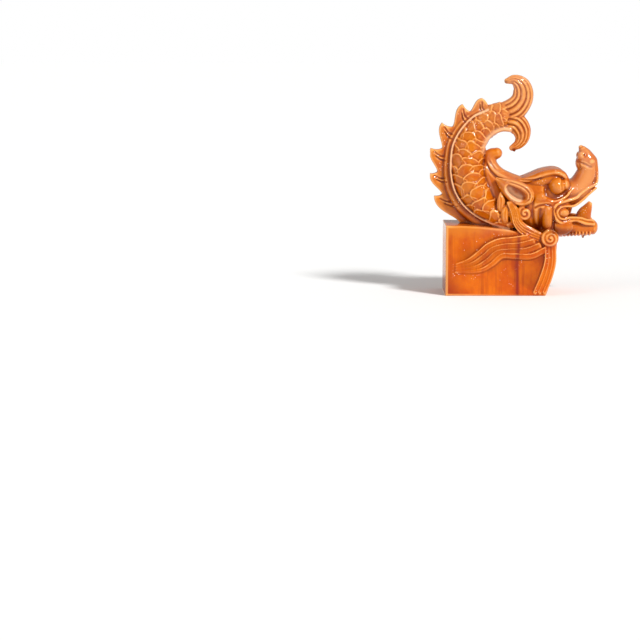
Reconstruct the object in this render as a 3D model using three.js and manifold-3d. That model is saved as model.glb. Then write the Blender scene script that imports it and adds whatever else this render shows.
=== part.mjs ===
import * as THREE from 'three';
import { mergeVertices } from 'three/addons/utils/BufferGeometryUtils.js';
import Module from 'manifold-3d';

// Ridge-end ornament: a dragon-headed fish on a block, moulded in one piece and glazed.
// Millimetres, +Z up, +X towards the muzzle, both flanks alike about Y = 0,
// origin in the middle of the bed.

// Driving dimensions
const beastHeight = 300; // from the top of the block to the crest of the tail
const blockLength = 222;
const blockHeight = 141; // at the end that meets the ridge
const blockWidth = 130;
const blockEdgeRadius = 7;
const shoulderDrop = 30; // how much lower the block's top is at the front
const frontBatter = 21; // how far the front leans back at the bed
const finThickness = 18;
const headWidth = 124;
const strandRelief = 4; // how far the beard stands off the block

// The carving is laid out on a square grid from the block's upper front corner:
// u runs forward, v runs up, w runs out to one side.
const gridSteps = 150;
const step = beastHeight / gridSteps;
const frontX = blockLength / 2;
const headHalf = headWidth / 2 / step;
const faceHalf = blockWidth / 2 / step;
const finHalf = finThickness / 2 / step;

const glaze = new THREE.MeshStandardMaterial({ color: 0xd9730f, roughness: 0.22, metalness: 0 });

const wasm = await Module();
wasm.setup();

function solid(geometry) {
  const bare = geometry.index ? geometry.clone() : geometry;
  bare.deleteAttribute('normal');
  bare.deleteAttribute('uv');
  const merged = mergeVertices(bare, 1e-4);
  return new wasm.Manifold(new wasm.Mesh({
    numProp: 3,
    vertProperties: new Float32Array(merged.attributes.position.array),
    triVerts: new Uint32Array(merged.index.array),
  }));
}

function place(u, v, w) {
  return new THREE.Vector3(frontX + u * step, w * step, blockHeight + v * step);
}

// A closed skin over rings of equal length, with a fan over each end
function skin(rings) {
  const sides = rings[0].length;
  const middle = (ring) => ring
    .reduce((sum, point) => sum.add(point), new THREE.Vector3())
    .divideScalar(sides);
  const points = [...rings.flat(), middle(rings[0]), middle(rings.at(-1))];
  const faces = [];
  for (let r = 0; r < rings.length - 1; r += 1) {
    for (let s = 0; s < sides; s += 1) {
      const a = r * sides + s;
      const b = r * sides + (s + 1) % sides;
      faces.push(a, b, b + sides, a, b + sides, a + sides);
    }
  }
  const last = (rings.length - 1) * sides;
  for (let s = 0; s < sides; s += 1) {
    const next = (s + 1) % sides;
    faces.push(points.length - 2, next, s);
    faces.push(points.length - 1, last + s, last + next);
  }
  const geometry = new THREE.BufferGeometry();
  geometry.setAttribute('position', new THREE.Float32BufferAttribute(points.flatMap((p) => p.toArray()), 3));
  geometry.setIndex(faces);
  return geometry;
}

// A smooth run through stations [u, v, w, half width in the plane of the figure, half thickness]
function run(stations) {
  const curve = (pick) => new THREE.CatmullRomCurve3(stations.map(pick), false, 'catmullrom', 0.5);
  const middle = curve(([u, v, w]) => place(u, v, w));
  const reach = curve(([, , , half, thick]) => new THREE.Vector3(half * step, thick * step, 0));
  const side = new THREE.Vector3(0, 1, 0);
  return (share) => {
    const t = middle.getUtoTmapping(share);
    const centre = middle.getPoint(t);
    const along = middle.getTangent(t);
    const across = new THREE.Vector3().crossVectors(side, along).normalize().negate();
    const out = new THREE.Vector3().crossVectors(along, across);
    const size = reach.getPoint(t);
    return { centre, along, across, out, half: size.x, thick: size.y };
  };
}

// One ring round a run: an ellipse, squared off by its power, with ripples where the form has flutes
function ring(at, sides, scale, shift, power, ripple) {
  return Array.from({ length: sides }, (_, s) => {
    const angle = (s / sides) * Math.PI * 2;
    const c = Math.cos(angle);
    const d = Math.sin(angle);
    const wide = Math.sign(c) * Math.abs(c) ** (2 / power) * at.half * scale;
    const deep = Math.sign(d) * Math.abs(d) ** (2 / power) * at.thick * scale * (ripple ? ripple(c) : 1);
    return at.centre.clone()
      .addScaledVector(at.across, wide)
      .addScaledVector(at.out, deep)
      .addScaledVector(at.along, shift);
  });
}

// A rounded limb along a run. Free ends are domed; an end buried in another form stays flat.
function limb(stations, { sides = 12, steps = 8, power = 2, ripple = null, dome = 1, buried = [] } = {}) {
  const at = run(stations);
  const domeAngles = dome > 0.5 ? [1.25, 0.7] : [0.9];
  const cap = (here, way) => domeAngles.map((angle) => {
    const reach = Math.min(here.half, here.thick) * dome * way;
    return ring(here, sides, Math.cos(angle), Math.sin(angle) * reach, power, ripple);
  });
  const rings = buried.includes('start') ? [] : cap(at(0), -1);
  for (let i = 0; i <= steps; i += 1) rings.push(ring(at(i / steps), sides, 1, 0, power, ripple));
  if (!buried.includes('end')) rings.push(...cap(at(1), 1).reverse());
  return solid(skin(rings));
}

function ball(u, v, w, ru, rv, rw, sides = 12) {
  const geometry = new THREE.SphereGeometry(1, sides, Math.round(sides * 0.6));
  geometry.scale(ru * step, rw * step, rv * step);
  geometry.translate(...place(u, v, w).toArray());
  return solid(geometry);
}

const flanks = [-1, 1];

// The same form on both flanks
function onFlanks(stations, options) {
  return flanks.map((flank) => limb(stations.map(([u, v, w, a, b]) => [u, v, w * flank, a, b]), options));
}

function ballOnFlanks(u, v, w, ru, rv, rw, sides) {
  return flanks.map((flank) => ball(u, v, w * flank, ru, rv, rw, sides));
}

// Block with its sloping shoulder, leaning front and eased upright edges
function makeBlock() {
  const outline = new THREE.Shape();
  const back = -blockLength / 2;
  const front = blockLength / 2;
  outline.moveTo(back, 0);
  outline.lineTo(front - frontBatter, 0);
  outline.quadraticCurveTo(front, (blockHeight - shoulderDrop) * 0.5, front, blockHeight - shoulderDrop);
  outline.quadraticCurveTo(front - blockLength * 0.45, blockHeight, back, blockHeight);
  outline.closePath();
  const body = new THREE.ExtrudeGeometry(outline, {
    depth: blockWidth, bevelEnabled: false, curveSegments: 6,
  });
  body.rotateX(Math.PI / 2);
  body.translate(0, blockWidth / 2, 0);
  const plan = new THREE.Shape();
  const r = blockEdgeRadius;
  const half = blockWidth / 2;
  plan.moveTo(back, -half);
  plan.lineTo(front - r, -half);
  plan.absarc(front - r, -half + r, r, -Math.PI / 2, 0);
  plan.absarc(front - r, half - r, r, 0, Math.PI / 2);
  plan.lineTo(back, half);
  plan.closePath();
  const upright = new THREE.ExtrudeGeometry(plan, {
    depth: blockHeight, bevelEnabled: false, curveSegments: 4,
  });
  return solid(body).intersect(solid(upright));
}

// Fish body from the tail root round and down to the nape
const bodyStations = [
  [-45, 107.5, 0, 8, 4.5], [-52, 107.5, 0, 12.5, 9.3], [-63, 104.5, 0, 13.5, 10.5],
  [-76.5, 94.5, 0, 14, 12], [-84, 84.5, 0, 15.2, 15], [-88, 73, 0, 16.3, 18],
  [-89.5, 62, 0, 16.6, 20.5], [-88.5, 50, 0, 17, 23], [-85, 38, 0, 17.5, 25], [-77, 25.5, 0, 17.4, 27],
  [-67, 15.5, 0, 15.5, 28], [-55.5, 6, 0, 12, 28], [-42, 0, 0, 9, 26],
];
const scaleRows = 13;
const scalesRound = 7;
const hiddenRows = 2; // rows under the mane
const scaleRise = 1.5; // how far each free edge stands up

// Scales as rows of arched steps: each row's free edge points to the tail and covers the row behind it
function makeScaledBody() {
  const at = run(bodyStations);
  const sides = scalesRound * 4;
  const rings = [ring(at(0), sides, 0.6, -8, 2, null)];
  for (let row = 0; row < scaleRows - hiddenRows; row += 1) {
    for (const [edge, rise] of [[0, 0], [0.06, scaleRise]]) {
      const points = [];
      for (let s = 0; s < sides; s += 1) {
        const phase = (s / sides) * scalesRound + row * 0.5;
        const arch = Math.abs(Math.cos(phase * Math.PI));
        const t = (row + 0.55 + edge - 0.5 * arch) / scaleRows;
        const here = at(Math.min(Math.max(t, 0), 1));
        const angle = (s / sides) * Math.PI * 2;
        points.push(here.centre.clone()
          .addScaledVector(here.across, Math.cos(angle) * (here.half + rise * step * 0.6))
          .addScaledVector(here.out, Math.sin(angle) * (here.thick + rise * step)));
      }
      rings.push(points);
    }
  }
  rings.push(ring(at(1), sides, 0.7, 4, 2, null));
  return solid(skin(rings));
}

// Dorsal fin: hooked spikes set along the line of the back, tips drawn towards the tail
const backLine = [
  [-68.5, 114], [-84, 106.5], [-95, 95], [-103, 80.5], [-105.5, 66], [-105.5, 50.5], [-102, 34.5],
  [-93.5, 20], [-81, 9], [-65, 1], [-48, -4],
];
// Each spike: the notch above it and its tip; the last notch is where the fin meets the block
const notches = [
  [-68, 117.4], [-86, 112], [-103.5, 96.6], [-114, 75], [-118.5, 51.5], [-113.5, 29], [-95.8, 0.5],
];
const tips = [[-74, 125.3], [-93.3, 119.5], [-114, 101], [-125.2, 75.5], [-125.8, 50], [-121.8, 27.5]];

function point(pair) {
  return new THREE.Vector2(pair[0], pair[1]);
}

// A point part of the way from one place to another, set off to the right of that line
function beside(from, to, share, offset) {
  const line = to.clone().sub(from);
  const right = new THREE.Vector2(line.y, -line.x);
  return from.clone().addScaledVector(line, share).addScaledVector(right, offset);
}

const finFoot = [-48, -10]; // inside the block
const beadHalf = 1.8;
const beadReach = [7.5, 8.6, 10, 11.5, 13, 15, 17.5, 20, 22, 23.5, 24]; // to each side, along the back line
const bandHalf = [2.5, 2.8, 3.1, 3.4, 3.7, 4, 4.3, 4.6, 4.9, 5.2, 5.5]; // plain shoulder outside the bead
const bandThinning = 0.72; // band's thickness as a share of the bead's
const spikeLength = 25;
const ribProud = 1.1;
const ribPlaces = [[0.56, -0.5], [0.47, -0.26], [0.22, -0.07]]; // share of a spike's length, offset to a side

function makeFin() {
  const outline = new THREE.Shape();
  const depth = finHalf * 2;
  outline.moveTo(...notches[0]);
  tips.forEach((pair, i) => {
    const notch = point(notches[i]);
    const tip = point(pair);
    const below = point(notches[i + 1]);
    const hollow = beside(notch, tip, 0.55, i > 0 ? -0.22 : 0.2);
    const bulge = beside(tip, below, 0.3, 0.3);
    const waist = beside(tip, below, 0.74, -0.04);
    outline.quadraticCurveTo(hollow.x, hollow.y, tip.x, tip.y);
    outline.bezierCurveTo(bulge.x, bulge.y, waist.x, waist.y, below.x, below.y);
  });
  outline.lineTo(...finFoot);
  [...bodyStations].reverse().forEach(([u, v]) => outline.lineTo(u, v));
  const geometry = new THREE.ExtrudeGeometry(outline, {
    depth: depth * 0.5, curveSegments: 3, bevelEnabled: true, bevelSegments: 1,
    bevelThickness: depth * 0.25, bevelSize: 1.1, bevelOffset: -1.1,
  });
  geometry.translate(0, 0, -depth * 0.25);
  geometry.rotateX(Math.PI / 2);
  geometry.scale(step, step, step);
  geometry.translate(frontX, 0, blockHeight);
  const ribs = tips.map((pair, i) => {
    const tip = point(pair);
    const below = point(notches[i + 1]);
    const evened = spikeLength / tip.distanceTo(below);
    const [root, waist, end] = ribPlaces.map(([share, offset]) => beside(tip, below, share, offset * evened));
    const thick = finHalf + ribProud;
    return limb([
      [root.x, root.y, 0, 1.5, thick], [waist.x, waist.y, 0, 1.3, thick], [end.x, end.y, 0, 0.6, thick - 0.8],
    ], { sides: 4, steps: 2, dome: 0.1, buried: ['start'] });
  });
  const bead = limb(backLine.map(([u, v], i) => [u, v, 0, beadHalf, beadReach[i]]), {
    sides: 6, steps: 11, buried: ['start', 'end'],
  });
  const band = limb(backLine.map((pair, i) => {
    const before = point(backLine[Math.max(i - 1, 0)]);
    const after = point(backLine[Math.min(i + 1, backLine.length - 1)]);
    const away = beside(before, after, 0, 1).sub(before).normalize();
    const middle = point(pair).addScaledVector(away, bandHalf[i] * 0.75);
    return [middle.x, middle.y, 0, bandHalf[i], beadReach[i] * bandThinning];
  }), { sides: 6, steps: 10, buried: ['start', 'end'] });
  return [solid(geometry), ...ribs, bead, band];
}

// Two tail lobes, fluted along their length
const flutes = 2.5;
function flute(c) {
  return 0.78 + 0.22 * Math.cos(Math.acos(c) * 2 * flutes);
}

const tailLobes = [
  [[-66, 106, 0, 10, 4], [-54, 109.5, 0, 11, 6.5], [-42.5, 114.5, 0, 11.2, 8.8], [-35, 122, 0, 10.8, 7.5],
    [-33, 130.5, 0, 10.3, 6.5], [-35.5, 138.5, 0, 8.8, 5.5], [-42, 143.3, 0, 5.6, 4.5],
    [-49.3, 142.3, 0, 2.8, 3.2]],
  [[-66, 100, 0, 9, 4], [-53, 102, 0, 10, 6.5], [-41.5, 100, 0, 9.8, 8.4], [-35, 93.5, 0, 9.6, 7],
    [-33.7, 85.5, 0, 7.6, 6], [-37, 79.3, 0, 5.2, 5], [-43.5, 75.3, 0, 3, 3.6]],
];

function makeTail() {
  return tailLobes.map((stations) => limb(stations, {
    sides: 20, steps: 8, power: 2.4, ripple: flute, buried: ['start'],
  }));
}

// Head: skull, nape, curled snout, lower jaw and cheeks
function makeHead() {
  const skull = limb([
    [-52, 25, 0, 17, headHalf * 0.66], [-37, 21, 0, 25, headHalf * 0.9], [-19, 19.5, 0, 27, headHalf],
    [-5, 21, 0, 25, headHalf * 0.92], [7, 25, 0, 18.5, headHalf * 0.76],
  ], { sides: 12, steps: 5, power: 2.3, dome: 0.5, buried: ['start'] });
  const snout = limb([
    [2, 29, 0, 15, 22], [14, 30, 0, 14.5, 19.5], [24.5, 35.5, 0, 13, 16.5], [30.5, 47.5, 0, 11.6, 14],
    [29.8, 60, 0, 11.2, 12], [25.8, 69.5, 0, 7.4, 9.5], [23.6, 74.6, 0, 3.6, 6],
  ], { sides: 12, steps: 8, power: 2.4, dome: 0.5, buried: ['start'] });
  const jaw = limb([
    [-12, -2, 0, 12, 24], [5, -3.5, 0, 10.5, 20.5], [18.5, -3.2, 0, 8.8, 16.5], [29.5, -3.8, 0, 8.3, 13.5],
    [39, -4.8, 0, 7, 10.5],
  ], { sides: 10, steps: 5, power: 2.3, dome: 0.5, buried: ['start'] });
  const fringe = limb([
    [2, -9.6, 0, 4.4, 20.5], [12, -9.4, 0, 4.4, 18.5], [22, -9.2, 0, 4.2, 15.5], [35, -8.8, 0, 4, 11.9],
  ], { sides: 6, steps: 4, dome: 0.5, buried: ['start'] });
  const nape = limb([
    [-54, 18, 0, 16, 25], [-61, 36, 0, 13, 20], [-68, 54, 0, 8, 12], [-67, 66, 0, 4, 8],
  ], { sides: 8, steps: 3, dome: 0.5, buried: ['start'] });
  const lock = limb([
    [-36, 38, 0, 9, 22], [-48, 43.5, 0, 8, 19], [-58, 50, 0, 7, 15], [-64.2, 58, 0, 6.4, 12],
    [-63.5, 66.3, 0, 6.2, 10], [-58.4, 69.9, 0, 5.8, 8.5],
  ], { sides: 8, steps: 6, power: 2.2, dome: 0.5, buried: ['start'] });
  const forehead = limb([
    [-34, 34, 0, 10, 16], [-23, 39, 0, 10.5, 19], [-13, 42.3, 0, 11, 20], [-3, 43.4, 0, 10.6, 19.5],
    [5.5, 40.5, 0, 9, 17],
  ], { sides: 12, steps: 3, power: 3.4, dome: 0.5, buried: ['start'] });
  const tip = limb([[30, 66, 0, 7, 8], [26, 72, 0, 4.6, 6], [21.6, 76.2, 0, 1.5, 3.5]], {
    sides: 8, steps: 2, dome: 0.4, buried: ['start'],
  });
  return [
    skull, snout, jaw, fringe, nape, lock, forehead, tip,
    ball(38, -4.5, 0, 4.2, 7.6, 10.8, 7),
    ...ballOnFlanks(-14.5, 12, headHalf - 8, 11, 17, 10.5, 8),
    ...ballOnFlanks(3, -2, headHalf - 11, 14, 9, 7, 7),
    ...ballOnFlanks(27.5, 65, 9.2, 6.8, 6.4, 4.6, 6),
  ];
}

// Brows over bulging eyes, each eye with a second bump before it
function makeEyes() {
  return [
    ...ballOnFlanks(-4.4, 39, 17, 9.8, 9.8, 13, 10),
    ...ballOnFlanks(7.4, 41.6, 16.5, 5.8, 6.8, 10, 7),
    ...onFlanks([
      [-33, 43.5, 15, 3, 6], [-24, 45.6, 16, 3.9, 7.4], [-15, 49, 16.5, 3.8, 8.6], [-7, 50.9, 16, 3.6, 9],
      [0, 51, 15.5, 3.6, 9], [5.5, 48.6, 14.5, 3.3, 8.4], [9.5, 44.8, 13, 2.2, 6],
    ], { sides: 5, steps: 5, dome: 0.5 }),
  ];
}

// Lip bead: up the snout, along both jaws and round a loop behind the corner of the mouth
const lipRoute = [
  [32.5, 72, 3], [38.4, 66, 4.5], [40.6, 58, 6], [41.2, 49, 7.5], [40, 40.4, 9], [31.1, 35.6, 13.5],
  [24.1, 30.6, 16.5], [19.4, 26.8, 19], [8, 23.8, 22.5], [1, 21.8, 25.5], [-3.7, 18.9, 27.5], [-6, 14, 28],
  [-3.5, 7.2, 27.5], [3.2, 2, 25.5], [10.2, 2.6, 22.5], [19.4, 4.4, 18], [29.8, 0.8, 14.5], [38, -0.4, 10.5],
];
const fang = [
  [28.5, 3, 4.5, 8, 5], [30, 9.5, 4.5, 6.4, 4.8], [32.6, 15, 4.5, 3.8, 3.6], [35, 20, 4.5, 0.9, 1],
];
const lipHalf = 2.2;
const lipThick = 2.8;

function makeMouth() {
  return [
    ...onFlanks(lipRoute.map(([u, v, w]) => [u, v, w, lipHalf, lipThick]), {
      sides: 4, steps: 15, buried: ['start', 'end'],
    }),
    ...ballOnFlanks(5, 12, 22.5, 6, 4.6, 6.5, 6),
    ...onFlanks(fang, { sides: 5, steps: 3, dome: 0.4, buried: ['start'] }),
  ];
}

// Leaf-shaped ears, hollowed from the outside
const earStations = [
  [-59, 45, 20, 2.4, 4], [-51, 39, 25, 7.4, 7], [-41, 32.5, 28.5, 10.4, 7.4], [-32.5, 29.5, 29, 8.4, 6.6],
];
const earHollow = [
  [-54, 40, 33, 2.4, 5], [-48, 37, 36, 5, 7], [-41, 32.5, 38, 7, 8.5], [-36, 29.8, 38, 5, 7],
];

// Coil on a flank: a bead wound inwards from its outer turn
function coil(u, v, w, radius, bead, turns, sides) {
  const stations = [];
  const count = Math.round(turns * 6);
  for (let i = 0; i <= count; i += 1) {
    const share = i / count;
    const angle = Math.PI * 0.6 + share * turns * Math.PI * 2;
    const r = radius * (1 - share * 0.86);
    stations.push([u + Math.cos(angle) * r, v + Math.sin(angle) * r, w + share * 1.6, bead, bead * 1.4]);
  }
  return onFlanks(stations, { sides, steps: count, dome: 0.4 });
}

const maneLocks = 2;
const maneInner = [[-42, 14], [-40, 5.5], [-34, -0.5], [-25.5, -5.5], [-16, -9]];
const maneOuter = [[-49, 19], [-47, 2], [-39.5, -8], [-28, -14.5], [-16, -18]];

// A number of strands spread evenly between two guide lines
function strands(inner, outer, count, w, half, thick, options) {
  const all = [];
  for (let i = 0; i < count; i += 1) {
    const share = count > 1 ? i / (count - 1) : 0;
    const stations = inner.map(([u, v], k) => {
      const taper = Math.sin(Math.PI * (0.22 + 0.72 * k / (inner.length - 1)));
      return [
        THREE.MathUtils.lerp(u, outer[k][0], share),
        THREE.MathUtils.lerp(v, outer[k][1], share),
        w, half * (0.45 + 0.55 * taper), thick * (0.35 + 0.65 * taper),
      ];
    });
    all.push(...onFlanks(stations, options));
  }
  return all;
}

// Beard: four strands sweep back over the flank and three fall down the front corner
const beardUpper = [
  [-34, -9], [-50, -10], [-65, -11.5], [-76, -17], [-86, -25.5], [-94, -33], [-105, -38],
];
const beardLower = [
  [-14, -24], [-25, -29], [-40, -30.6], [-55, -30], [-66, -37.5], [-78, -44.5], [-101, -46],
];
const fallInner = [[-14, -20], [-15, -36], [-19, -52], [-24, -67]];
const fallOuter = [[-5, -20], [-5.5, -36], [-9.5, -52], [-14, -67]];

function makeBeard() {
  const relief = strandRelief / step;
  return [
    ...strands(beardUpper, beardLower, 4, faceHalf - 0.4, 3, relief + 0.4, {
      sides: 4, steps: 7, buried: ['start', 'end'],
    }),
    ...strands(fallInner, fallOuter, 3, faceHalf - 0.4, 2.4, relief + 0.4, {
      sides: 4, steps: 3, buried: ['start', 'end'],
    }),
  ];
}

// Rosette on each flank where the strands spring: an outer ring round a domed core
function makeRosettes() {
  const profile = [
    [0, -4], [9.4, -4], [9.2, 2], [7.4, 3.4], [5.4, 1.2], [4, 1.6], [2.6, 4], [0, 4.6],
  ].map(([r, h]) => new THREE.Vector2(r * step, h * step));
  return flanks.map((flank) => {
    const geometry = new THREE.LatheGeometry(profile, 9);
    if (flank < 0) geometry.rotateX(Math.PI);
    geometry.translate(...place(-9.5, -12.5, flank * (faceHalf + 0.2)).toArray());
    return solid(geometry);
  });
}

function makeBeast() {
  const massing = [makeBlock(), makeScaledBody(), ...makeFin(), ...makeTail(), ...makeHead(),
    ...onFlanks(earStations, { sides: 10, steps: 4, dome: 0.5 })];
  let beast = massing.reduce((sum, part) => sum.add(part));
  for (const hollow of onFlanks(earHollow, { sides: 8, steps: 2, dome: 0.5 })) {
    beast = beast.subtract(hollow);
  }
  const carving = [
    ...makeEyes(), ...makeMouth(), ...makeBeard(), ...makeRosettes(),
    ...coil(-34, 11, headHalf - 1.5, 8, 2.3, 1.35, 4),
    ...strands(maneInner, maneOuter, maneLocks, headHalf - 1, 2.9, 4, {
      sides: 4, steps: 4, dome: 0.4, buried: ['end'],
    }),
  ];
  beast = carving.reduce((sum, part) => sum.add(part), beast);
  return beast;
}

const result = makeBeast().getMesh();
const geometry = new THREE.BufferGeometry();
geometry.setAttribute('position', new THREE.BufferAttribute(result.vertProperties, 3));
geometry.setIndex(new THREE.BufferAttribute(result.triVerts, 1));

const ridgeBeast = new THREE.Mesh(geometry, glaze);
ridgeBeast.name = 'ridge_beast';

const group = new THREE.Group();
group.add(ridgeBeast);

export default group;
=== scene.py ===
import bmesh
import bpy
import math
import numpy as np
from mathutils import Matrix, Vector


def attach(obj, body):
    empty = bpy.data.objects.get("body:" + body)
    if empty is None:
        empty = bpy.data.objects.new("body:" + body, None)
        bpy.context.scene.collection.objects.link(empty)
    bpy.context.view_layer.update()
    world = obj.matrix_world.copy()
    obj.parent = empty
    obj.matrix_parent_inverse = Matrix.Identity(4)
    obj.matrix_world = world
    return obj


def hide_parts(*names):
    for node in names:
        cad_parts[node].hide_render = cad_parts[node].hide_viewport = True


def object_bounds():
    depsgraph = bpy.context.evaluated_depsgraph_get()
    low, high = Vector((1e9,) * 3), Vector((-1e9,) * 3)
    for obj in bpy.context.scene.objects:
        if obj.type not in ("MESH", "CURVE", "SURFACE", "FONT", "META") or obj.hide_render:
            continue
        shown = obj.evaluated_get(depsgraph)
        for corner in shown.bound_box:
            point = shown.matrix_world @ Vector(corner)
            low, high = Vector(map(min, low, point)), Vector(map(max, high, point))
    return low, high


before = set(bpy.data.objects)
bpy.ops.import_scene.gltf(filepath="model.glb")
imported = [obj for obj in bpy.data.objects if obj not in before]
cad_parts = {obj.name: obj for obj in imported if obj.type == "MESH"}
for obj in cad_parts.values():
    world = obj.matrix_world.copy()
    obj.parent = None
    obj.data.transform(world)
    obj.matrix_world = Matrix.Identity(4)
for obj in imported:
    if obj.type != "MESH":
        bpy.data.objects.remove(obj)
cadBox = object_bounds()

# The block, in metres, as the frame has it
block = {
    "length": 0.222,
    "height": 0.141,       # at the end that meets the ridge
    "width": 0.130,
    "shoulderDrop": 0.030,  # how much lower the top is at the front
    "frontBatter": 0.021,   # how far the front leans back at the bed
    "edge": 0.0045,         # radius of the softened edges
}

# The carving is laid out on a grid from the block's upper front corner:
# u forward, v up, w out to one side, in steps
layout = {
    "step": 0.002,
    "frontX": block["length"] / 2,
    "headHalf": 31.0,
    "faceHalf": block["width"] / 2 / 0.002,
    "finHalf": 4.5,
}

clayFinish = {
    "voxel": 0.0013,        # grain at which the forms are fused
    "smoothRounds": 2,
    "mostTriangles": 190000,
}

flanks = (-1, 1)
clay = []  # closed surfaces, as (corners, faces of four corners, faces of three)


def place(uvw):
    # grid steps to metres: along from the front corner, up from the block's top
    step = layout["step"]
    return np.stack([layout["frontX"] + uvw[..., 0] * step, uvw[..., 2] * step,
                     block["height"] + uvw[..., 1] * step], -1)


def throughStations(stations, count):
    # a uniform cubic through the stations (each span weighs its four nearest), then spaced evenly by length
    known = np.array(stations, float)
    wide = np.vstack([2 * known[0] - known[1], known, 2 * known[-1] - known[-2]])
    t = np.linspace(0, len(known) - 1, 60 * (len(known) - 1) + 1)
    span = np.minimum(t.astype(int), len(known) - 2)
    f = (t - span)[:, None]
    a, b, c, d = (wide[span + k] for k in range(4))
    fine = 0.5 * (2 * b + (c - a) * f + (2 * a - 5 * b + 4 * c - d) * f ** 2
                  + (3 * b - a - 3 * c + d) * f ** 3)
    gone = np.concatenate([[0], np.cumsum(np.linalg.norm(np.diff(fine[:, :3], axis=0), axis=1))])
    even = np.linspace(0, gone[-1], count)
    return np.stack([np.interp(even, gone, fine[:, k]) for k in range(fine.shape[1])], 1)


def gridFaces(rows, around):
    # every cell of a grid that closes on itself round its rows
    r = np.arange(rows - 1)[:, None] * around
    s = np.arange(around)[None, :]
    n = (s + 1) % around
    return np.stack([r + s, r + n, r + around + n, r + around + s], -1).reshape(-1, 4)


def addRings(rings):
    # rings of equal length become a closed skin; each end shrinks to a pole
    rows, around = rings.shape[:2]
    ends = np.stack([rings[0].mean(0), rings[-1].mean(0)])
    corners = np.vstack([rings.reshape(-1, 3), ends])
    s = np.arange(around)
    n = (s + 1) % around
    last = (rows - 1) * around
    first = rows * around
    near = np.stack([np.full(around, first), n, s], 1)
    far = np.stack([np.full(around, first + 1), last + s, last + n], 1)
    clay.append((corners, gridFaces(rows, around), np.vstack([near, far])))


def limb(stations, around=40, along=60, power=2.0, ripple=None, dome=1.0):
    # stations (u, v, w, half width in the plane of the figure, half thickness):
    # a squared ellipse is carried along the run, its ends rounded off by a quarter circle
    run = throughStations(stations, along)
    centre, size = run[:, :3], run[:, 3:5]
    ahead = np.gradient(centre, axis=0)
    ahead /= np.linalg.norm(ahead, axis=1)[:, None]
    side = np.array([0.0, 0.0, 1.0])
    across = np.cross(ahead, side)
    across /= np.linalg.norm(across, axis=1)[:, None]
    out = np.cross(across, ahead)
    capRings = 7
    cap = np.linspace(0.12, math.pi / 2, capRings)
    reach = np.minimum(size[:, 0], size[:, 1]) * dome
    rows = np.concatenate([np.zeros(capRings, int), np.arange(along), np.full(capRings, along - 1)])
    shrink = np.concatenate([np.sin(cap), np.ones(along), np.sin(cap[::-1])])
    push = np.concatenate([-np.cos(cap) * reach[0], np.zeros(along), np.cos(cap[::-1]) * reach[-1]])
    angle = np.linspace(0, 2 * math.pi, around, endpoint=False)
    c, d = np.cos(angle), np.sin(angle)
    wide = np.sign(c) * np.abs(c) ** (2 / power)
    deep = np.sign(d) * np.abs(d) ** (2 / power)
    if ripple is not None:
        deep = deep * ripple(c)
    rings = (centre[rows] + ahead[rows] * push[:, None])[:, None, :] \
        + across[rows][:, None, :] * (size[rows, 0] * shrink)[:, None, None] * wide[None, :, None] \
        + out[rows][:, None, :] * (size[rows, 1] * shrink)[:, None, None] * deep[None, :, None]
    addRings(place(rings))


def onFlanks(stations, **how):
    for flank in flanks:
        limb([(u, v, w * flank, a, b) for u, v, w, a, b in stations], **how)


def ball(u, v, w, ru, rv, rw):
    # an ellipsoid: latitude rings about the w axis
    lat = np.linspace(0.08, math.pi - 0.08, 24)[:, None]
    lon = np.linspace(0, 2 * math.pi, 40, endpoint=False)[None, :]
    rings = np.stack([u + ru * np.sin(lat) * np.cos(lon), v + rv * np.sin(lat) * np.sin(lon),
                      w + rw * np.cos(lat) * np.ones_like(lon)], -1)
    addRings(place(rings))


def ballOnFlanks(u, v, w, ru, rv, rw):
    for flank in flanks:
        ball(u, v, w * flank, ru, rv, rw)


def bezier(corners, count):
    # points of a Bezier curve of any degree: binomial weights times its corners
    corners = np.array(corners, float)
    degree = len(corners) - 1
    t = np.linspace(0, 1, count, endpoint=False)[:, None]
    return sum(math.comb(degree, k) * t ** k * (1 - t) ** (degree - k) * corner
               for k, corner in enumerate(corners))


def plate(outline, halfWidth, edge):
    # an outline in the plane of the figure, thickened to both sides with rounded edges
    curve = bpy.data.curves.new("plateOutline", "CURVE")
    curve.dimensions = "2D"
    curve.fill_mode = "BOTH"
    spline = curve.splines.new("POLY")
    spline.points.add(len(outline) - 1)
    flat = np.concatenate([outline, np.zeros((len(outline), 1)), np.ones((len(outline), 1))], 1)
    spline.points.foreach_set("co", flat.ravel())
    spline.use_cyclic_u = True
    curve.extrude = halfWidth - edge
    curve.bevel_depth = edge
    curve.bevel_resolution = 3
    curve.offset = -edge
    holder = bpy.data.objects.new("plateOutline", curve)
    bpy.context.scene.collection.objects.link(holder)
    bpy.context.view_layer.update()
    mesh = bpy.data.meshes.new_from_object(holder.evaluated_get(bpy.context.evaluated_depsgraph_get()))
    mesh.calc_loop_triangles()
    corners = np.empty(len(mesh.vertices) * 3)
    mesh.vertices.foreach_get("co", corners)
    faces = np.empty(len(mesh.loop_triangles) * 3, np.int32)
    mesh.loop_triangles.foreach_get("vertices", faces)
    corners = corners.reshape(-1, 3)[:, [0, 2, 1]]  # the outline's plane stands up
    faces = faces.reshape(-1, 3)[:, ::-1]
    bpy.data.objects.remove(holder)
    bpy.data.curves.remove(curve)
    bpy.data.meshes.remove(mesh)
    clay.append((corners, np.empty((0, 4), int), faces))


def makeBlock():
    back, front = -block["length"] / 2, block["length"] / 2
    top, low = block["height"], block["height"] - block["shoulderDrop"]
    outline = np.vstack([
        [[back, 0.0]],
        bezier([(front - block["frontBatter"], 0), (front, low / 2), (front, low)], 24),
        bezier([(front, low), (front - block["length"] * 0.45, top), (back, top)], 40),
        [[back, top]],
    ])
    plate(outline, block["width"] / 2, block["edge"])


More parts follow.
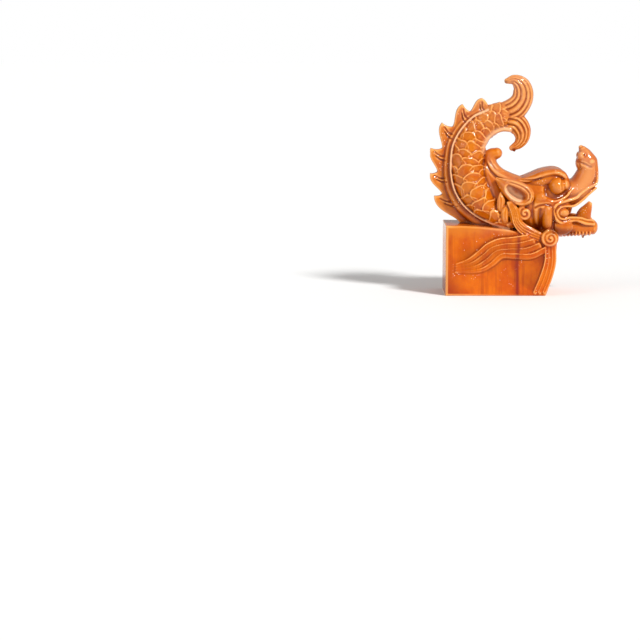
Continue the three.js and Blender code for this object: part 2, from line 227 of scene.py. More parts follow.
# The fish body: stations from the tail root round to the nape, and its scales
body = {
    "stations": [
        (-45, 107.5, 0, 8, 4.5), (-52, 107.5, 0, 12.5, 9.3), (-63, 104.5, 0, 13.5, 10.5),
        (-76.5, 94.5, 0, 14, 12), (-84, 84.5, 0, 15.2, 15), (-88, 73, 0, 16.3, 18),
        (-89.5, 62, 0, 16.6, 20.5), (-88.5, 50, 0, 17, 23), (-85, 38, 0, 17.5, 25),
        (-77, 25.5, 0, 17.4, 27), (-67, 15.5, 0, 15.5, 28), (-55.5, 6, 0, 12, 28), (-42, 0, 0, 9, 26),
    ],
    "scaleRows": 19,
    "scalesRound": 7,
    "scaleRise": 1.5,       # steps that a free edge stands up
    "rimRise": 0.7,         # steps that its rolled rim adds
    "growth": 0.3,          # how much longer the rows get towards the nape
    "arch": 0.9,            # how far a free edge bows towards the tail, in rows
    "scaleHalf": 0.62,      # half width of a scale, in columns
    "rimHalf": 0.1,         # half width of its rim, in rows
    "spineRise": 0.35,      # steps that its faint spine adds
    "spineHalf": 0.13,      # half width of its spine, as a share of its own
    # how the rows and the columns wander: amount, waves round the body, waves along it
    "rowWander": [(0.16, 3, 40), (0.07, 7, -23)],
    "columnWander": [(0.1, 0, 55), (0.05, 5, 0)],
    "leaves": [  # long pointed scales beside the mane
        [(-56.6, 32.6, 26.2, 0.7, 1.4), (-56.4, 28.8, 27.8, 2.6, 2.5), (-56.2, 24.4, 28.6, 4, 3.0),
         (-56.7, 19, 28.6, 3.4, 2.8), (-57, 14.5, 27.6, 1.6, 2)],
        [(-50.6, 20.8, 27.5, 0.7, 1.4), (-51.4, 17, 28.8, 2.7, 2.6), (-52.3, 13.2, 29.6, 4, 3),
         (-52.4, 8, 29.4, 3.6, 3), (-51.6, 3.5, 27.8, 3.2, 2)],
        [(-49, 21.5, 28.2, 0.6, 1.2), (-47.4, 16, 29.4, 2, 2.4), (-45.8, 11, 29.8, 2.2, 2.6),
         (-44.4, 3, 28.8, 1.6, 2)],
    ],
    "innerBorder": [(-73, 72.5, 0, 1.6, 9), (-71.6, 79.5, 0, 2.1, 9.5), (-67.6, 86.6, 0, 2.5, 9.5),
                    (-61.2, 91.8, 0, 2.8, 9), (-53.5, 94.6, 0, 3, 8.6), (-46, 94, 0, 2.8, 8)],
}


def scaleRelief(row, turn):
    # the highest of the scales that reach a point: each falls away from its arched free edge,
    # which has a rolled rim, and a faint spine runs down its middle
    relief = np.zeros_like(row)
    for back in range(4):
        k = np.floor(row) + 1 - back
        shift = 0.5 * (k % 2)
        for column in (-1, 0, 1):
            centre = np.round(turn - shift) + shift + column
            off = (turn - centre) / body["scaleHalf"]
            inside = np.clip(1 - off ** 2, 0, 1)
            fromEdge = row - (k - body["arch"] * np.sqrt(inside) + 0.3)
            covered = (fromEdge >= 0) & (np.abs(off) < 1)
            lift = body["scaleRise"] * np.clip(1 - 0.6 * fromEdge, 0, 1)
            rim = body["rimRise"] * np.exp(-((fromEdge - body["rimHalf"]) / body["rimHalf"]) ** 2)
            spine = body["spineRise"] * np.exp(-(off / body["spineHalf"]) ** 2)
            spine = spine * np.exp(-((fromEdge - 0.6) / 0.4) ** 2)
            relief = np.maximum(relief, np.where(covered, lift + rim + spine, 0))
    return relief


def wander(waves, angle, share):
    # sines of so many waves round the body and along it, each times its amount, added up
    return sum(amount * np.sin(around * angle + along * share) for amount, around, along in waves)


def makeBody():
    # an ellipse carried round the back, raised along its outward direction by the scales
    along, around = 420, 300
    run = throughStations(body["stations"], along)
    centre, size = run[:, :3], run[:, 3:5]
    ahead = np.gradient(centre, axis=0)
    ahead /= np.linalg.norm(ahead, axis=1)[:, None]
    across = np.cross(ahead, [0.0, 0.0, 1.0])
    angle = np.linspace(0, 2 * math.pi, around, endpoint=False)[None, :]
    share = np.linspace(0, 1, along)[:, None]
    g = body["growth"]
    row = body["scaleRows"] * (share * (1 + g) - g * share ** 2) + wander(body["rowWander"], angle, share)
    turn = angle / (2 * math.pi) * body["scalesRound"] + wander(body["columnWander"], angle, share)
    rise = scaleRelief(row, turn)
    rise *= np.clip(share / 0.03, 0, 1)
    rings = centre[:, None, :] \
        + across[:, None, :] * ((size[:, :1] + rise * 0.8) * np.cos(angle))[..., None] \
        + np.array([0.0, 0.0, 1.0]) * ((size[:, 1:] + rise) * np.sin(angle))[..., None]
    addRings(place(rings))
    for leaf in body["leaves"]:
        onFlanks(leaf, around=30, along=60, dome=0.3)
    limb(body["innerBorder"], around=50, along=90, power=2.6)


# Dorsal fin: hooked spikes, each from the notch above it, and the bead along the back
fin = {
    "notches": [(-68, 117.4), (-86, 112), (-103.5, 96.6), (-114, 75), (-118.5, 51.5), (-113.5, 29),
                (-95.8, 0.5)],
    "tips": [(-74, 125.3), (-93.3, 119.5), (-114, 101), (-125.2, 75.5), (-125.8, 50), (-121.8, 27.5)],
    "backLine": [
        (-68.5, 114), (-84, 106.5), (-95, 95), (-103, 80.5), (-105.5, 66), (-105.5, 50.5), (-102, 34.5),
        (-93.5, 20), (-81, 9), (-65, 1), (-48, -4),
    ],
    "edge": 0.003,          # radius of the fin's softened edges, in metres
    "beadHalf": 1.15,
    "beadOut": [7.5, 8.6, 10, 11.5, 13, 15, 17.5, 20, 22, 23.5, 24],  # how far the bead reaches to each side
    "bandHalf": 5.5,        # the plain shoulder between the bead and the spikes
    "bandThinning": 0.66,   # its thickness as a share of the bead's
    "spikeLength": 25.0,
    "rib": [(0.55, -0.43), (0.46, -0.24), (0.22, -0.07)],  # from the band to the tip: share along, offset
}


def beside(start, end, share, offset):
    # a point part of the way along a line, set off to its right by a share of its length
    line = np.array(end) - start
    return np.array(start) + line * share + np.array([line[1], -line[0]]) * offset


def ribPlaces(tip, below, shift):
    # the rib's three places, its offsets being shares of a spike of common length
    length = np.linalg.norm(np.array(below) - tip)
    scale = fin["spikeLength"] / length
    return [beside(tip, below, share + shift, offset * scale) for share, offset in fin["rib"]]


def makeFin():
    edge = []
    for i, tip in enumerate(fin["tips"]):
        notch, below = fin["notches"][i], fin["notches"][i + 1]
        edge.append(bezier([notch, beside(notch, tip, 0.55, -0.22 if i else 0.2), tip], 10))
        edge.append(bezier([tip, beside(tip, below, 0.3, 0.3), beside(tip, below, 0.74, -0.04), below], 18))
    inside = [(u, v) for u, v, *_ in reversed(body["stations"])]
    outline = np.vstack(edge + [[fin["notches"][-1], (-48, -10)], inside])
    step = layout["step"]
    outline = outline * step + [layout["frontX"], block["height"]]
    plate(outline, layout["finHalf"] * step, fin["edge"])
    line, out = np.array(fin["backLine"]), np.array(fin["beadOut"])
    bead = [(u, v, 0, fin["beadHalf"], w) for (u, v), w in zip(line, out)]
    limb(bead, around=48, along=220, power=3)
    ahead = np.gradient(line, axis=0)
    away = np.stack([ahead[:, 1], -ahead[:, 0]], 1) / np.linalg.norm(ahead, axis=1)[:, None]
    half = np.linspace(2.5, fin["bandHalf"], len(line))
    middle = line + away * (half * 0.75)[:, None]
    band = [(u, v, 0, h, w) for (u, v), h, w in zip(middle, half, out * fin["bandThinning"])]
    limb(band, around=60, along=200, power=3.2)
    for tip, below in zip(fin["tips"], fin["notches"][1:]):
        root, waist, end = ribPlaces(tip, below, 0)
        thick = layout["finHalf"] + 1
        limb([(*root, 0, 1.3, thick), (*waist, 0, 1.1, thick), (*end, 0, 0.5, thick - 0.8)],
             around=24, along=40, dome=0.1)


# The two tail lobes, fluted along their length
tail = {
    "flutes": 5,            # beads across a lobe's face
    "fluteDepth": 0.4,
    "drops": [(-41.2, 73), (29, -14.2)],  # glaze that ran together, under the lower lobe and under the jaw
    "dropSize": (1.2, 1.7, 1.2),
    "lobes": [
        [(-66, 106, 0, 10, 4), (-54, 109.5, 0, 11, 6.5), (-42, 114, 0, 12, 8.8), (-34.8, 122, 0, 11, 7.5),
         (-33, 130.5, 0, 10.3, 6.5), (-35.5, 138.5, 0, 8.8, 5.5), (-42, 143.3, 0, 5.6, 4.5),
         (-49.3, 142.3, 0, 2.8, 3.2)],
        [(-66, 100, 0, 9, 4), (-53, 102, 0, 10, 6.5), (-41, 100.6, 0, 10.8, 8.4), (-34.6, 93.5, 0, 9.8, 7),
         (-33.7, 85.5, 0, 7.6, 6), (-37, 79.3, 0, 5.2, 5), (-43.5, 75.3, 0, 3, 3.6)],
    ],
}


def fluted(c):
    # beads of equal width across the lobe with narrow valleys between them: |cos| of the place across
    return 1 - tail["fluteDepth"] * (1 - np.abs(np.cos(c * math.pi * tail["flutes"] / 2)) ** 0.7)


def makeTail():
    for lobe in tail["lobes"]:
        limb(lobe, around=200, along=140, power=2.4, ripple=fluted)
    for u, v in tail["drops"]:
        ball(u, v, 0, *tail["dropSize"])


# The head: masses first, then eyes, mouth and ears. Runs as stations for limb, lips as (u, v, w);
# rounds are ellipsoids on both flanks: middle, then half sizes along u, v and w
head = {
    "chin": (38.8, -4.5, 0, 4.4, 7.6, 10.8),  # one round, on the middle
    "massRounds": {
        "cheek": (-9.4, 9, 23, 6.8, 15, 10.5),
        "temple": (-17, 27, 23, 10, 7.5, 8.5),
        "jowl": (3, -2, 20, 14, 9, 7),
        "nostril": (26.6, 67.4, 6.6, 5, 5, 4.8),
        "muzzle": (35, 62, 8.6, 4.4, 3.8, 4.4),
    },
    "faceRounds": {
        "eye": (-0.2, 38.4, 17.4, 9.4, 10, 12.8),
        "eyeCorner": (8.4, 40, 16, 5, 6.4, 10),
        "flesh": (6.4, 12.2, 22.3, 6, 4.6, 6.5),  # inside the loop of the lips
    },
    "fringe": {"folds": 9, "first": (6, -9.6, 20.5), "last": (35, -8.8, 11.9), "round": (2.1, 4.4)},
    "skull": [(-52, 25, 0, 17, 20.5), (-37, 21, 0, 25, 28), (-19, 19.5, 0, 27, 31), (-5, 21, 0, 25, 28.5),
              (7, 25, 0, 18.5, 23.5)],
    "snout": [(2, 29, 0, 15, 22), (14, 30, 0, 14.5, 19.5), (24.5, 35.5, 0, 12.6, 16.5),
              (31.6, 47.5, 0, 11.2, 14), (32.6, 55, 0, 10.6, 13), (31, 62.4, 0, 11, 12),
              (29.2, 69.6, 0, 7.2, 9.5), (27, 74.6, 0, 3.8, 6)],
    "jaw": [(-12, -2, 0, 12, 24), (5, -3.5, 0, 10.5, 20.5), (18.5, -3.2, 0, 8.8, 16.5),
            (29.5, -3.8, 0, 8.3, 13.5), (39, -4.8, 0, 7, 10.5)],
    "nape": [(-54, 18, 0, 16, 25), (-61, 36, 0, 13, 20), (-68, 54, 0, 8, 12), (-67, 66, 0, 4, 8)],
    "lock": [(-36, 38, 0, 9, 22), (-48, 43.5, 0, 8, 19), (-58, 50, 0, 7, 15), (-65, 59, 0, 6.8, 12),
             (-65, 67.4, 0, 6.8, 10), (-58.9, 70, 0, 5.7, 8.5)],
    "tip": [(31.5, 66, 0, 7, 8), (28.6, 72, 0, 4.6, 6), (24.8, 77, 0, 2, 3.5)],
    "forehead": [(-34, 35, 0, 10, 18), (-23, 40, 0, 10.5, 22), (-13, 44.2, 0, 10.8, 24),
                 (-3, 46, 0, 10.4, 24), (4.6, 43.6, 0, 9.6, 21)],
    "brow": [(-46, 45.5, 13, 1.2, 2.6), (-34, 43.8, 15, 2.6, 5), (-24, 46, 16, 3.8, 7.6),
             (-15, 49.6, 16.5, 4, 9), (-7, 51.6, 16, 4, 9.6), (0, 52, 15.5, 4, 9.6),
             (6, 49.6, 14.5, 3.8, 9), (10.6, 44.8, 13, 2.4, 6)],
    "lowerLid": [(-15, 30, 26, 1.2, 1.8), (-12, 25.4, 26.6, 2.2, 2.2), (-6, 23.6, 26, 2.6, 2.6),
                 (2, 25, 24, 2.6, 2.8), (9.6, 29.4, 20.5, 2.2, 2.6), (14.5, 34.2, 18, 1.2, 2.2)],
    "lip": [(32.5, 72, 3), (38.4, 66, 4.5), (40.6, 58, 6), (41.2, 49, 7.5), (40, 40.4, 9),
            (31.1, 35.6, 13.5), (24.1, 30.6, 16.5), (19.4, 26.8, 19), (9, 23.8, 22.5),
            (2.6, 22.2, 25.2), (-1.8, 19.4, 27), (-3.9, 14.2, 27.5), (-1.7, 7.2, 27), (4.2, 2.2, 25),
            (10.6, 2.6, 22.5), (19.4, 4.4, 18), (29.8, 0.8, 14.5), (38, -0.4, 10.5)],
    "innerLip": [(40.2, 35.4, 8), (33.4, 30.2, 11.5), (24.1, 22.4, 15.5), (17.2, 18.6, 18.5),
                 (8.3, 18.6, 22.3), (2.6, 16.8, 25.2), (0.2, 12.4, 26.4), (2.8, 7.3, 25.8),
                 (7.8, 5.8, 23.8), (12.6, 6.9, 21.3), (23.9, 6.2, 16.5), (31, 4, 13), (38, 3, 10)],
    "fang": [(28.5, 3, 4.5, 8, 5), (30.4, 9.5, 4.5, 6.6, 4.8), (33.4, 15, 4.5, 4.2, 3.6),
             (36, 20.4, 4.5, 1.6, 1.8)],
    "ear": [(-59, 45, 20, 2.4, 4), (-51, 39, 25, 7.4, 7), (-41, 32.5, 28.5, 10.4, 7.4),
            (-32.5, 29.5, 29, 8.4, 6.6)],
    "earRim": [(-60, 46, 21.5, 1.3, 2), (-52, 44, 27.5, 2.5, 3), (-43, 42, 31.2, 3.2, 3.6),
               (-34.5, 38.6, 33, 3.9, 4), (-28.5, 33.2, 33.3, 4.3, 4), (-28, 26.8, 33, 3.8, 3.8),
               (-32, 23, 32, 2.8, 3.4), (-39, 22.2, 31.5, 1.8, 3), (-46, 26, 30, 1.4, 2.4),
               (-52, 33, 27.5, 1.1, 2.2), (-57, 41, 23, 1, 1.8)],
}

# Hollows pressed into both flanks: middle, half lengths along and across, tilt in degrees, depth, least w
hollows = {
    "ear": (-41.6, 33, 12, 6.6, -33, 9, 24),
    "mouthCorner": (19, 15.5, 11, 6, 12, 4, 12),
}


def press(hollow):
    # every surface made so far goes in by the depth times a flat-bottomed well:
    # one minus the fourth power of the tilted elliptical distance
    u0, v0, long, short, tilt, depth, least = hollow
    step = layout["step"]
    c, s = math.cos(math.radians(tilt)), math.sin(math.radians(tilt))
    for points, _, _ in clay:
        u = (points[:, 0] - layout["frontX"]) / step - u0
        v = (points[:, 2] - block["height"]) / step - v0
        far = ((u * c + v * s) / long) ** 2 + ((-u * s + v * c) / short) ** 2
        well = np.clip(1 - far ** 2, 0, 1) ** 1.2
        well = np.where(np.abs(points[:, 1]) > least * step, well, 0)
        points[:, 1] -= np.sign(points[:, 1]) * well * depth * step


def makeHead():
    limb(head["skull"], around=80, along=70, power=2.3, dome=0.5)
    limb(head["snout"], around=70, along=110, power=2.4, dome=0.6)
    limb(head["jaw"], around=60, along=70, power=2.3, dome=0.7)
    limb(head["nape"], around=50, along=50)
    limb(head["lock"], around=60, along=70, power=2.2)
    limb(head["forehead"], around=70, along=60, power=2.3, dome=0.8)
    limb(head["tip"], around=50, along=40, dome=0.4)
    ball(*head["chin"])
    for size in head["massRounds"].values():
        ballOnFlanks(*size)
    onFlanks(head["ear"], around=80, along=80)
    onFlanks(head["fang"], around=30, along=30, dome=0.4)
    fringe = head["fringe"]  # scallops under the jaw, narrower towards the chin
    for u, v, half in np.linspace(fringe["first"], fringe["last"], fringe["folds"]):
        ball(u, v, 0, *fringe["round"], half)


def makeFace():
    for hollow in hollows.values():
        press(hollow)
    onFlanks(head["earRim"], around=28, along=160)
    for size in head["faceRounds"].values():
        ballOnFlanks(*size)
    onFlanks(head["brow"], around=50, along=90)
    onFlanks(head["lowerLid"], around=30, along=90)
    onFlanks([(u, v, w, 1.8, 2.4) for u, v, w in head["lip"]], around=24, along=200)
    onFlanks([(u, v, w, 1.3, 2.2) for u, v, w in head["innerLip"]], around=24, along=160)


# Curls and strands of the mane and beard
hair = {
    "knob": (-32.4, 12.4),  # the curl below the ear
    "knobCurl": (6.8, 2.3, 1.3),     # a curl's radius, the half width of its bead, its turns
    "rosette": (-7.2, -12.6),
    "rosetteCurl": (7.8, 1.9, 1.9),  # the same, where the strands spring
    "dome": (-7.2, -12.5),  # the low dome under that curl, and its profile: radius, height
    "domeProfile": [(0.05, -4), (8.6, -4), (8.6, 0.6), (7.6, 1.4), (4, 2), (0.05, 2.2)],
    # strands: how many, half width, thickness, the two phases of their swelling
    "mane": (4, 1.7, 3.8, (0.16, 0.8)),
    "beard": (4, 3.3, 2.6, (0.4, 0.9)),
    "fall": (3, 2.4, 2.4, (0.45, 0.7)),
    "rimPlace": 0.72,       # where a strand's raised edge runs, as a share of its half width
    "maneInner": [(-46.4, 24), (-41.4, 18), (-38.8, 12), (-37.6, 6), (-32.6, 0.6), (-25, -3.4), (-16, -8)],
    "maneOuter": [(-49.6, 23), (-46, 15.8), (-44, 9.4), (-42.4, 2.6), (-38, -4), (-30.5, -10), (-19, -14)],
    "beardUpper": [(-30, -11.5), (-44, -13.8), (-58, -15.4), (-69, -20), (-77.5, -27), (-88, -34.6),
                   (-100, -39)],
    "beardLower": [(-12, -24), (-26, -30.4), (-42, -30.3), (-55, -30.3), (-65, -38.5), (-78, -45),
                   (-101, -46.6)],
    "fallInner": [(-10, -20), (-10.4, -36), (-15.2, -52), (-21.5, -67)],
    "fallOuter": [(-3.4, -20), (-3, -36), (-6.5, -52), (-12.2, -67)],
}


def strands(inner, outer, w, count, half, thick, swelling):
    # strands spread evenly between two guide lines; their size follows a sine between the two
    # phases of their swelling, and they sink a little where they are thin
    inner, outer = np.array(inner), np.array(outer)
    phase = swelling[0] + (swelling[1] - swelling[0]) * np.linspace(0, 1, len(inner))
    swell = np.sin(math.pi * phase) ** 0.8
    for i in range(count):
        line = inner + (outer - inner) * (i / (count - 1))
        ahead = np.gradient(line, axis=0)
        above = np.stack([ahead[:, 1], -ahead[:, 0]], 1) / np.linalg.norm(ahead, axis=1)[:, None]
        rim = line + above * (hair["rimPlace"] * half * swell)[:, None]
        onFlanks([(u, v, w - 0.6 * (1 - s), half * (0.1 + 0.9 * s), thick * (0.35 + 0.6 * s))
                  for (u, v), s in zip(line, swell)], around=26, along=110, power=2.6)
        onFlanks([(u, v, w - 0.6 * (1 - s), 0.35 + 0.4 * s, thick * (0.35 + 0.85 * s))
                  for (u, v), s in zip(rim, swell)], around=20, along=110)


def coil(u, v, w, radius, bead, turns):
    # a bead whose distance from the middle shrinks evenly as it turns
    count = int(turns * 16) + 1
    share = np.linspace(0, 1, count)
    angle = math.pi * 0.6 + share * turns * 2 * math.pi
    r = radius * (1 - share * 0.86)
    onFlanks([(u + math.cos(a) * q, v + math.sin(a) * q, w + s * 1.6, bead, bead * 1.4)
              for a, q, s in zip(angle, r, share)], around=24, along=140)


def makeHair():
    onHead, onBlock = layout["headHalf"] - 1, layout["faceHalf"] - 0.4
    coil(*hair["knob"], onHead, *hair["knobCurl"])
    strands(hair["maneInner"], hair["maneOuter"], onHead, *hair["mane"])
    strands(hair["beardUpper"], hair["beardLower"], onBlock, *hair["beard"])
    strands(hair["fallInner"], hair["fallOuter"], onBlock, *hair["fall"])
    # rosette where the strands spring: a low dome turned about w, and a curl that winds up on it
    face = layout["faceHalf"]
    coil(*hair["rosette"], face + 1, *hair["rosetteCurl"])
    r, h = np.split(np.array(hair["domeProfile"]), 2, axis=1)
    u, v = hair["dome"]
    turn = np.linspace(0, 2 * math.pi, 48, endpoint=False)
    for flank in flanks:
        addRings(place(np.stack([u + r * np.cos(turn), v + r * np.sin(turn) * flank,
                                 (face + 0.2 + h) * flank * np.ones_like(turn)], -1)))


def meshFromClay(name):
    # all surfaces, one after another, as one mesh
    mesh = bpy.data.meshes.new(name)
    corners, quads, triangles, start = [], [], [], 0
    for points, fours, threes in clay:
        corners.append(points)
        quads.append(fours + start)
        triangles.append(threes + start)
        start += len(points)
    corners, quads, triangles = np.vstack(corners), np.vstack(quads), np.vstack(triangles)
    mesh.vertices.add(len(corners))
    mesh.vertices.foreach_set("co", corners.ravel())
    mesh.loops.add(quads.size + triangles.size)
    ordered = np.concatenate([quads.ravel(), triangles.ravel()])
    mesh.loops.foreach_set("vertex_index", ordered.astype(np.int32))
    mesh.polygons.add(len(quads) + len(triangles))
    starts = np.concatenate([np.arange(len(quads)) * 4, quads.size + np.arange(len(triangles)) * 3])
    mesh.polygons.foreach_set("loop_start", starts.astype(np.int32))
    mesh.update(calc_edges=True)
    mesh.validate()
    return mesh


def applyModifiers(piece):
    # the mesh as its modifiers leave it takes the place of the old one
    bpy.context.view_layer.update()
    done = bpy.data.meshes.new_from_object(piece.evaluated_get(bpy.context.evaluated_depsgraph_get()))
    old = piece.data
    piece.modifiers.clear()
    piece.data = done
    bpy.data.meshes.remove(old)


def fuse(piece, voxel):
    remesh = piece.modifiers.new("fuse", "REMESH")
    remesh.mode = "VOXEL"
    remesh.voxel_size = voxel
    applyModifiers(piece)


def cornersOf(mesh):
    flat = np.empty(len(mesh.vertices) * 3)
    mesh.vertices.foreach_get("co", flat)
    return flat.reshape(-1, 3)


def normalsOf(mesh):
    flat = np.empty(len(mesh.vertices) * 3, np.float32)
    mesh.vertex_normals.foreach_get("vector", flat)
    return flat.reshape(-1, 3).astype(float)


def edgesOf(mesh):
    flat = np.empty(len(mesh.edges) * 2, np.int32)
    mesh.edges.foreach_get("vertices", flat)
    return flat.reshape(-1, 2)


def keepLargest(piece):
    # corners joined by edges take the lowest number among them until nothing changes;
    # all corners that don't share the commonest number go
    mesh = piece.data
    edges = edgesOf(mesh)
    number = np.arange(len(mesh.vertices))
    while True:
        lowest = number.copy()
        np.minimum.at(lowest, edges[:, 0], number[edges[:, 1]])
        np.minimum.at(lowest, edges[:, 1], number[edges[:, 0]])
        lowest = lowest[lowest]
        if (lowest == number).all():
            break
        number = lowest
    strays = np.nonzero(number != np.bincount(number).argmax())[0]
    work = bmesh.new()
    work.from_mesh(mesh)
    work.verts.ensure_lookup_table()
    bmesh.ops.delete(work, geom=[work.verts[i] for i in strays], context="VERTS")
    work.to_mesh(mesh)
    work.free()
    print("loose corners taken away:", len(strays))


# What the glaze looks like; colours as they show on a screen, 0 to 255
glaze = {
    "amber": (207, 112, 6),
    "deepAmber": (190, 84, 2),
    "blockAmber": (217, 107, 0),
    "blockDeep": (194, 76, 0),
    "pooledGlazeAndShade": (128, 46, 2),      # where it lies thick in the hollows, and painted shade in the fine creases, the eye socket, the nostril and the cheek gap
    "thin": (252, 176, 98),      # where it runs off the ridges, and a painted highlight along the edges
    "run": (150, 42, 8),         # darker runs down the block
    "mainRunColour": (134, 34, 26),
    "tailWash": (214, 150, 108),  # the tail is paler and greyer
    "paleAndPaintedLight": (250, 196, 150),     # the palest, on the bead and the tail, and the painted highlight, light and reflection where a stain is below nothing
    "fleck": (255, 222, 190),    # pinholes that catch the light
    "roughness": 0.18,
    "specular": 0.16,
    "coatRoughness": 0.05,
    "beastCoat": 0.5,            # clear gloss over the beast, and over the block
    "blockCoat": 0.1,
    # each pair below is where a soft step begins and ends; places are in metres
    "blockTop": (0.1, 0.145),    # height where the block's glaze gives way to the beast's
    "tailFoot": (0.31, 0.43),    # height over which the tail pales
    "runsEnd": (0.035, 0.06),    # place along, where the small runs give out
    "mainRun": 0.033,            # place along, where the darkest run falls
    "mainRunHalf": (0.0005, 0.006),  # how far from its middle it fades
    "waver": 0.012,              # how far the runs wander
    "darkCorner": (-0.095, -0.045),  # place along, at the bed, where the dark corner ends
    "poolFrom": (0.1, 1.9),      # millimetres that a broad hollow lies in
    "creaseFrom": (0.05, 0.45),  # the same for a fine crease
    "edgeFrom": (0.08, 0.5),     # millimetres that an edge stands out
    "flecks": 230.0,             # cells to a metre that may hold a pinhole
    "fleckReach": (0.12, 0.26),  # a pinhole's edge, as a share of its cell
    "fleckPatches": (0.59, 0.68),  # how much noise it takes to have pinholes
    "hollowSpread": 60,          # rounds of averaging that find the broad hollows
    "creaseSpread": 6,           # the same for the fine creases
}


def linear(colour):
    # screen value to linear light: ((c + 0.055) / 1.055) to the power 2.4, or c / 12.92 when dark
    shares = [c / 255 for c in colour]
    return tuple(((c + 0.055) / 1.055) ** 2.4 if c > 0.04045 else c / 12.92 for c in shares) + (1.0,)


def storeHollows(piece):
    # how far each corner stands out along its normal from the average of its surroundings, in millimetres
    mesh = piece.data
    points, normals, edges = cornersOf(mesh), normalsOf(mesh), edgesOf(mesh)
    count = len(points)
    tails, heads = np.concatenate([edges[:, 0], edges[:, 1]]), np.concatenate([edges[:, 1], edges[:, 0]])
    meetings = np.bincount(tails, minlength=count)[:, None]
    blurred = points.copy()
    for turn in range(1, glaze["hollowSpread"] + 1):
        around = np.stack([np.bincount(tails, blurred[heads, k], minlength=count) for k in range(3)], 1)
        blurred = (blurred + around) / (1 + meetings)
        if turn in (glaze["creaseSpread"], glaze["hollowSpread"]):
            name = "crease" if turn == glaze["creaseSpread"] else "hollow"
            stands = ((points - blurred) * normals).sum(1) * 1000
            mesh.attributes.new(name, "FLOAT", "POINT").data.foreach_set("value", stands.astype(np.float32))


makeBlock()
makeBody()
makeFin()
makeTail()
makeHead()
makeFace()
makeHair()
print("forms:", len(clay))

beast = bpy.data.objects.new("glazedRidgeBeast", meshFromClay("glazedRidgeBeast"))
bpy.context.scene.collection.objects.link(beast)
fuse(beast, clayFinish["voxel"])
keepLargest(beast)
print("fused:", len(beast.data.vertices))


# Lines cut on both flanks: route in u and v, width, depth, least w
lines = {
    "lockUpper": ([(-67.5, 65), (-64, 58.5), (-57, 52.5), (-46, 48)], 1.1, 1.1, 4),
    "lockLower": ([(-70, 62), (-67.5, 55), (-60, 47.5), (-50, 44)], 1.1, 1.1, 6),
    "browTailUpper": ([(-30, 49.3), (-40, 48.4), (-50, 51), (-59, 55)], 1.0, 1.0, 5),
    "browTailLower": ([(-14, 47.2), (-24, 44.6), (-34, 45.4), (-44, 47.5)], 1.1, 1.4, 8),
    "earRoll": ([(-50, 44), (-42, 42), (-34, 38.4), (-28.8, 32.8), (-28.6, 27),
                 (-32.5, 23.8)], 0.8, 1.1, 26),
    "socket": ([(-11, 40), (-11.4, 34), (-8.4, 29.4), (-2.4, 27.6), (4.4, 29.4),
                (11.4, 33.8)], 2.2, 2.2, 10),
    "betweenBumps": ([(4.8, 48), (4.6, 42), (5, 34)], 0.9, 0.9, 10),
    "cheek": ([(-3.6, 19), (-3.8, 8), (-3.6, -2), (-4, -8)], 1.4, 1.6, 14),
    "cheekGap": ([(-16.6, 19), (-17.4, 10), (-16.6, 0), (-13, -6)], 2.2, 1.8, 14),
    "cheekbone": ([(-24, 17), (-18, 19.8), (-11, 20.8), (-5, 19.4)], 1.2, 1.4, 14),
    "jowl": ([(-24.5, 30), (-24.6, 20), (-24.6, 10), (-22.5, 1), (-17, -5)], 1.7, 1.3, 16),
    "nostril": ([(28.2, 69), (28.4, 68.8)], 1.5, 3.4, 5),
    "underNostril": ([(20.6, 65), (24, 61.6), (29, 59.8), (33, 57.6), (37, 57.4)], 1.1, 1.3, 3),
    "muzzleRim": ([(39.4, 61), (40, 54), (39.4, 46), (36.4, 40)], 1.0, 0.8, 4),
    "snoutFold": ([(24.4, 54), (23.4, 59), (21.4, 63)], 1.0, 0.9, 4),
    "leafOne": ([(-56.4, 30), (-56.2, 24), (-56.8, 16)], 0.6, 0.4, 20),
    "leafTwo": ([(-51, 18.5), (-52.3, 12), (-52, 5)], 0.6, 0.4, 20),
}
for tip, below in zip(fin["tips"], fin["notches"][1:]):  # a hooked line on each side of a spike's rib
    for shift in (-0.09, 0.09):
        hook = [tuple(spot) for spot in ribPlaces(tip, below, shift)]
        lines[f"spike {tip[0]} {shift}"] = (hook, 0.8, 1.0, 1)


def nearRoute(points, normals, route, reach, least):
    # the corners within reach of a route in the plane of the figure, on both flanks from w = least outwards,
    # with how far each is from it and its share along
    track = throughStations([(u, v, 0, 0, 0) for u, v in route], 120)[:, :2]
    step = layout["step"]
    flat = np.stack([(points[:, 0] - layout["frontX"]) / step, (points[:, 2] - block["height"]) / step], 1)
    near = ((flat > track.min(0) - reach) & (flat < track.max(0) + reach)).all(1)
    near &= (np.abs(points[:, 1]) > least * step) & (points[:, 1] * normals[:, 1] >= 0)
    chosen = np.nonzero(near)[0]
    gap = np.linalg.norm(flat[chosen][:, None, :] - track[None, :, :], axis=2)
    return chosen, gap.min(1), gap.argmin(1) / (len(track) - 1)


def carve(points, normals, line):
    # each corner goes in along its normal by the depth times a bell of its distance from the route,
    # less where the surface turns away from the side and towards the route's ends
    route, width, depth, least = line
    chosen, gap, share = nearRoute(points, normals, route, 3 * width, least)
    taper = np.clip(np.sin(math.pi * share) * 3, 0.15, 1)
    facing = np.clip(np.abs(normals[chosen, 1]) * 1.6, 0, 1)
    move = depth * layout["step"] * np.exp(-(gap / width) ** 2) * taper * facing
    points[chosen] -= normals[chosen] * move[:, None]


def circle(u, v, radius):
    # twelve points round a middle: the radius times the cosine and sine of each twelfth of a turn
    turns = [k * math.pi / 6 for k in range(12)]
    return [(u + radius * math.cos(turn), v + radius * math.sin(turn)) for turn in turns]
